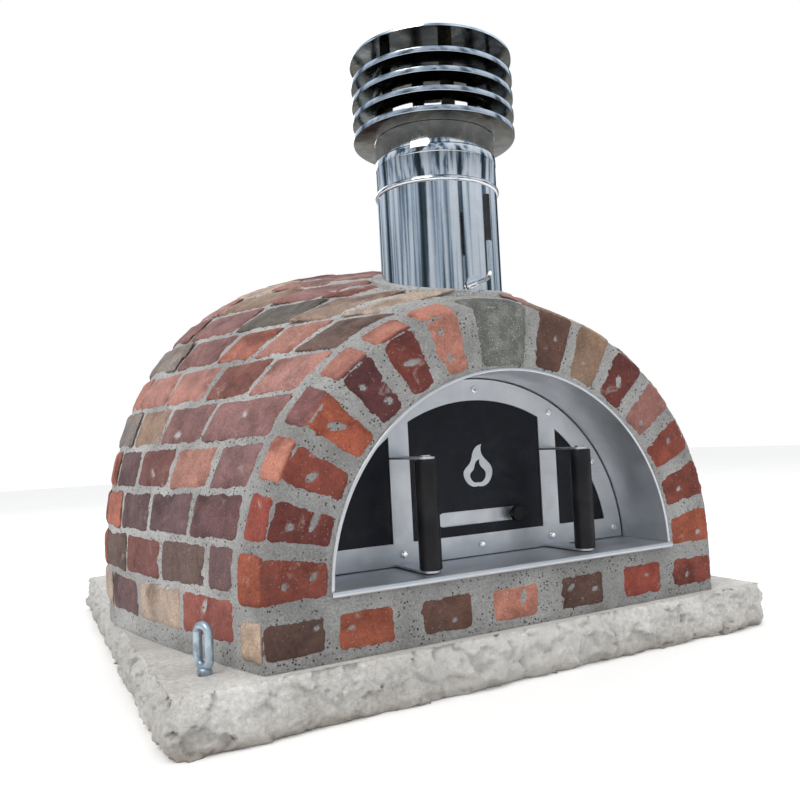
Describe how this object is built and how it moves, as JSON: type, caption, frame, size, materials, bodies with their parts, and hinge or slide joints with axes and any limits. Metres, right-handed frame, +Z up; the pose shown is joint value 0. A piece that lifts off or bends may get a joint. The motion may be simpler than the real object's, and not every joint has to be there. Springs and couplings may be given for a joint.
{
  "type": "wood fired pizza oven",
  "caption": "Brick-faced domed oven on a stone slab, with an arched mouth, a lift-out insulated door with a sliding vent, and a steel flue with damper and ringed cap.",
  "frame": {"origin": "centre of the slab's underside", "axes": "+Z up, -Y out of the oven's mouth, +X to the right seen from the front"},
  "size_m": [1.002, 1.076, 0.977],
  "materials": {
    "brick": "reclaimed red brick, matt and worn",
    "granite": "grey-green keystone, matt",
    "slab_stone": "sawn top, rock-faced edges",
    "mortar": "light grey mortar with dark grit",
    "refractory": "cast refractory, matt",
    "fire_tile": "fire tile, matt",
    "insulation_board": "calcium silicate board",
    "ceramic_fibre": "ceramic fibre blanket",
    "brushed_stainless": "brushed stainless steel",
    "polished_stainless": "mirror-polished stainless steel",
    "black_panel": "black heat-resistant paint, satin",
    "black_grip": "black phenolic, satin",
    "black_sleeve": "black heat sleeve",
    "fastener_steel": "bright stainless fasteners",
    "galvanised": "bright zinc plated steel"
  },
  "bodies": {
    "oven": {"arch_bricks": "brick", "arch_liner": "brushed_stainless", "brick_course_01": "brick", "brick_course_02": "brick", "brick_course_03": "brick", "brick_course_04": "brick", "brick_course_05": "brick", "brick_course_06": "brick", "brick_course_07": "brick", "brick_course_08": "brick", "brick_course_09": "brick", "brick_course_10": "brick", "brick_course_11": "brick", "cap_lid": "polished_stainless", "cap_ring_1": "polished_stainless", "cap_ring_2": "polished_stainless", "cap_ring_3": "polished_stainless", "cap_ring_4": "polished_stainless", "cap_spigot": "polished_stainless", "cap_straps": "polished_stainless", "crown_bricks": "brick", "damper_bush": "fastener_steel", "dome_mortar": "mortar", "door_stop": "brushed_stainless", "flue_collar": "mortar", "flue_insulation": "ceramic_fibre", "flue_jacket": "polished_stainless", "flue_liner": "polished_stainless", "flue_upper_jacket": "polished_stainless", "front_row_bricks": "brick", "front_wall_mortar": "mortar", "hearth_tiles": "fire_tile", "insulation_blanket": "ceramic_fibre", "insulation_board": "insulation_board", "keystone": "granite", "lifting_eyes": "galvanised", "locking_band": "polished_stainless", "refractory_dome": "refractory", "sill_block": "refractory", "sill_tray": "brushed_stainless", "stone_slab": "slab_stone", "vestibule_vault": "refractory"},
    "door": {"door_frame": "brushed_stainless", "door_panel": "black_panel", "door_core": "ceramic_fibre", "door_back_tray": "brushed_stainless", "door_bolts": "fastener_steel", "door_nuts": "fastener_steel", "handle_tabs": "brushed_stainless", "handle_grips": "black_grip", "grip_bolts": "fastener_steel", "door_emblem": "brushed_stainless", "vent_rails": "brushed_stainless"},
    "vent": {"vent_plate": "brushed_stainless", "vent_knob": "black_grip"},
    "damper": {"damper_plate": "brushed_stainless", "damper_shaft": "fastener_steel", "damper_screws": "fastener_steel", "damper_lever": "fastener_steel", "damper_sleeve": "black_sleeve"}
  },
  "joints": [
    {"name": "door_slide", "type": "slide", "parent": "oven", "child": "door", "axis": [0, -1, 0], "range_m": [0, 0.2]},
    {"name": "vent_slide", "type": "slide", "parent": "door", "child": "vent", "axis": [-1, 0, 0], "range_m": [0, 0.128]},
    {"name": "damper_turn", "type": "hinge", "parent": "oven", "child": "damper", "pos_m": [0.01, -0.315, 0.586], "axis": [0, 1, 0], "range_deg": [0, 90]}
  ]
}
